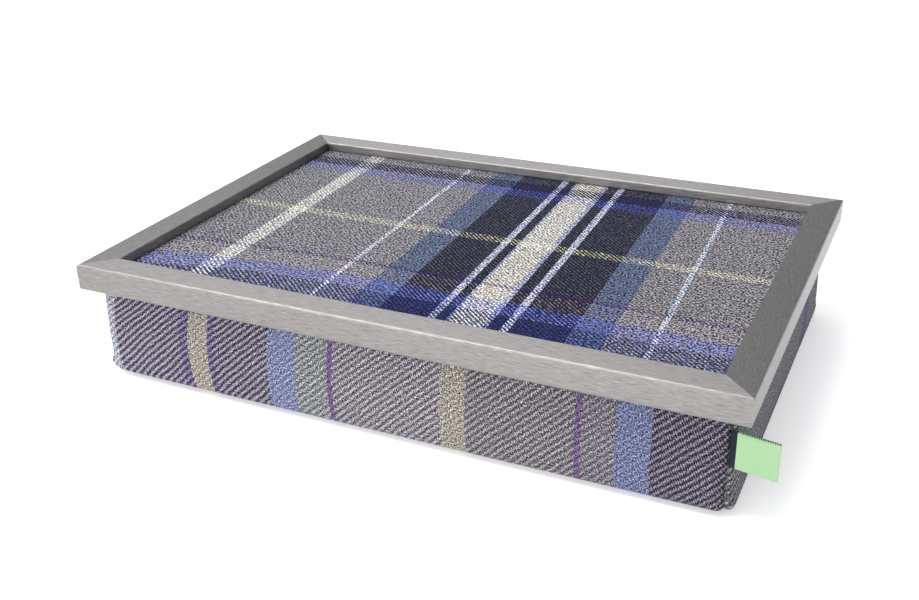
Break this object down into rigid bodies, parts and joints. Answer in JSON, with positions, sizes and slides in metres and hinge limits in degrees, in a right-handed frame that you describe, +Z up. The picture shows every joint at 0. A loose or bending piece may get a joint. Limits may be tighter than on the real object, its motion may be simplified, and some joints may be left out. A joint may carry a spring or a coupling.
{
  "type": "lap tray with cushion",
  "caption": "Cloth-faced lap tray in a mitred brushed frame, held by hook and loop tapes on a zipped, bead-filled box cushion.",
  "frame": {"origin": "middle of the cushion's flat underside, on the surface that it rests on", "axes": "+X to the right along the tray's long side, +Y to the back (the zip side), +Z up out of the tray's face"},
  "size_m": [0.454, 0.305, 0.084],
  "materials": {
    "brushed_foil_moulding": "satin silver-grey foil, brushed along each rail, over a moulding",
    "tartan_fabric": "twill woven check in grey, navy, blue, cream and lilac",
    "plain_lining": "plain dark woven lining",
    "beads": "loose white foam beads",
    "hardboard": "smooth pressed board",
    "nail_steel": "bare pressed steel",
    "hook_tape": "nylon hook tape",
    "loop_tape": "nylon loop tape",
    "zip_tape": "woven zip tape",
    "zip_coil": "moulded nylon teeth",
    "zip_metal": "painted zinc",
    "label_ribbon": "satin ribbon, bare, green with a navy edge"
  },
  "bodies": {
    "cushion": {"cover_wrap": "tartan_fabric", "cover_back_strip": "tartan_fabric", "cover_top_panel": "plain_lining", "cover_left_end": "tartan_fabric", "cover_right_end": "tartan_fabric", "side_label": "label_ribbon", "bead_liner": "plain_lining", "bead_fill": "beads", "loop_tape_front": "loop_tape", "loop_tape_back": "loop_tape", "loop_tape_left": "loop_tape", "loop_tape_right": "loop_tape", "zip_tape_upper": "zip_tape", "zip_tape_lower": "zip_tape", "zip_teeth_upper": "zip_coil", "zip_teeth_lower": "zip_coil", "zip_stops": "zip_metal"},
    "tray": {"frame_rail_front": "brushed_foil_moulding", "frame_rail_back": "brushed_foil_moulding", "frame_rail_left": "brushed_foil_moulding", "frame_rail_right": "brushed_foil_moulding", "corner_v_nails": "nail_steel", "retaining_points": "nail_steel", "tray_board": "hardboard", "tray_fabric": "tartan_fabric", "backing_board": "hardboard", "hook_tape_front": "hook_tape", "hook_tape_back": "hook_tape", "hook_tape_left": "hook_tape", "hook_tape_right": "hook_tape"},
    "zip_slider": {"zip_slider": "zip_metal"},
    "zip_pull": {"zip_pull": "zip_metal"}
  },
  "joints": [
    {"name": "tray_lift", "type": "slide", "parent": "cushion", "child": "tray", "axis": [0, 0, 1], "range_m": [0, 0.1]},
    {"name": "zip_slide", "type": "slide", "parent": "cushion", "child": "zip_slider", "axis": [-1, 0, 0], "range_m": [0, 0.313]},
    {"name": "pull_swing", "type": "hinge", "parent": "zip_slider", "child": "zip_pull", "pos_m": [0.1569, 0.1424, 0.04], "axis": [0, 0, -1], "range_deg": [0, 180]}
  ]
}
